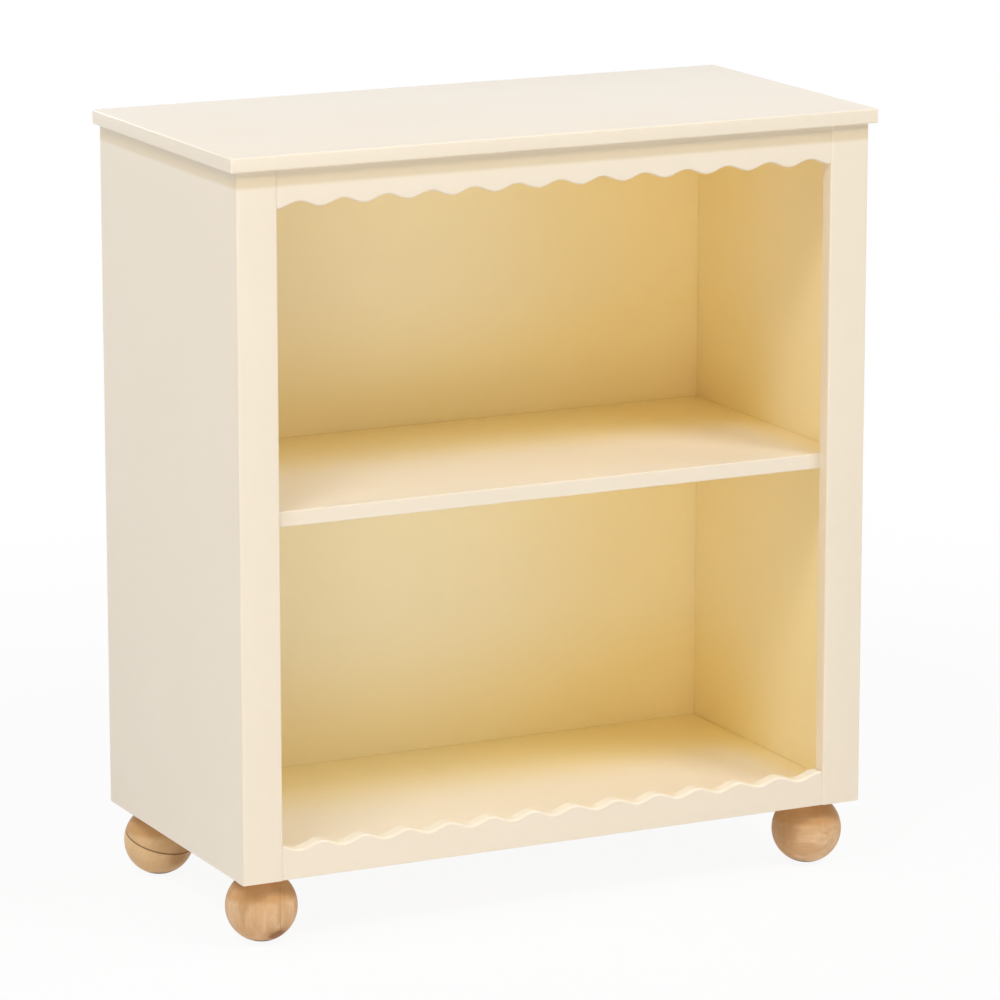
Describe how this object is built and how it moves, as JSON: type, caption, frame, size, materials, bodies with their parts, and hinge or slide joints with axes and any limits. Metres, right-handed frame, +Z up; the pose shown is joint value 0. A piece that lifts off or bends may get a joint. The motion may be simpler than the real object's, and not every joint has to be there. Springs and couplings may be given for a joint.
{
  "type": "bookcase",
  "caption": "Low open bookcase of painted board on turned wooden ball feet, with a fixed shelf and a face frame whose rails have scalloped edges, for books and displayed objects.",
  "frame": {"origin": "on the floor, under the middle of the overall box", "axes": "+Z up, front towards -Y, +X to the right for someone who looks at the front"},
  "size_m": [0.736, 0.359, 0.822],
  "materials": {
    "cream_paint": "satin cream paint on fibreboard",
    "turned_beech": "turned solid wood, oiled, with grain and a knot",
    "dowel_beech": "plain wood",
    "zinc": "dull zinc, die-cast cams and plated inserts",
    "steel": "zinc-plated steel"
  },
  "bodies": {
    "root": {"top_panel": "cream_paint", "side_panel_left": "cream_paint", "side_panel_right": "cream_paint", "stile_left": "cream_paint", "stile_right": "cream_paint", "scalloped_valance": "cream_paint", "scalloped_base_rail": "cream_paint", "shelf": "cream_paint", "bottom_panel": "cream_paint", "back_panel": "cream_paint", "foot_front_left": "turned_beech", "foot_front_right": "turned_beech", "foot_rear_left": "turned_beech", "foot_rear_right": "turned_beech", "cam_top_left_front": "zinc", "cam_top_left_rear": "zinc", "cam_top_right_front": "zinc", "cam_top_right_rear": "zinc", "cam_shelf_left_front": "zinc", "cam_shelf_left_rear": "zinc", "cam_shelf_right_front": "zinc", "cam_shelf_right_rear": "zinc", "cam_bottom_left_front": "zinc", "cam_bottom_left_rear": "zinc", "cam_bottom_right_front": "zinc", "cam_bottom_right_rear": "zinc", "cam_bolt_top_left_front": "steel", "cam_bolt_top_left_rear": "steel", "cam_bolt_top_right_front": "steel", "cam_bolt_top_right_rear": "steel", "cam_bolt_shelf_left_front": "steel", "cam_bolt_shelf_left_rear": "steel", "cam_bolt_shelf_right_front": "steel", "cam_bolt_shelf_right_rear": "steel", "cam_bolt_bottom_left_front": "steel", "cam_bolt_bottom_left_rear": "steel", "cam_bolt_bottom_right_front": "steel", "cam_bolt_bottom_right_rear": "steel", "dowel_top_left": "dowel_beech", "dowel_top_right": "dowel_beech", "dowel_shelf_left": "dowel_beech", "dowel_shelf_right": "dowel_beech", "dowel_bottom_left": "dowel_beech", "dowel_bottom_right": "dowel_beech", "stile_dowel_left_lower": "dowel_beech", "stile_dowel_left_upper": "dowel_beech", "stile_dowel_right_lower": "dowel_beech", "stile_dowel_right_upper": "dowel_beech", "valance_dowel_left": "dowel_beech", "valance_dowel_right": "dowel_beech", "base_rail_dowel_left": "dowel_beech", "base_rail_dowel_right": "dowel_beech", "hanger_bolt_front_left": "steel", "hanger_bolt_front_right": "steel", "hanger_bolt_rear_left": "steel", "hanger_bolt_rear_right": "steel", "threaded_insert_front_left": "zinc", "threaded_insert_front_right": "zinc", "threaded_insert_rear_left": "zinc", "threaded_insert_rear_right": "zinc"}
  },
  "joints": []
}
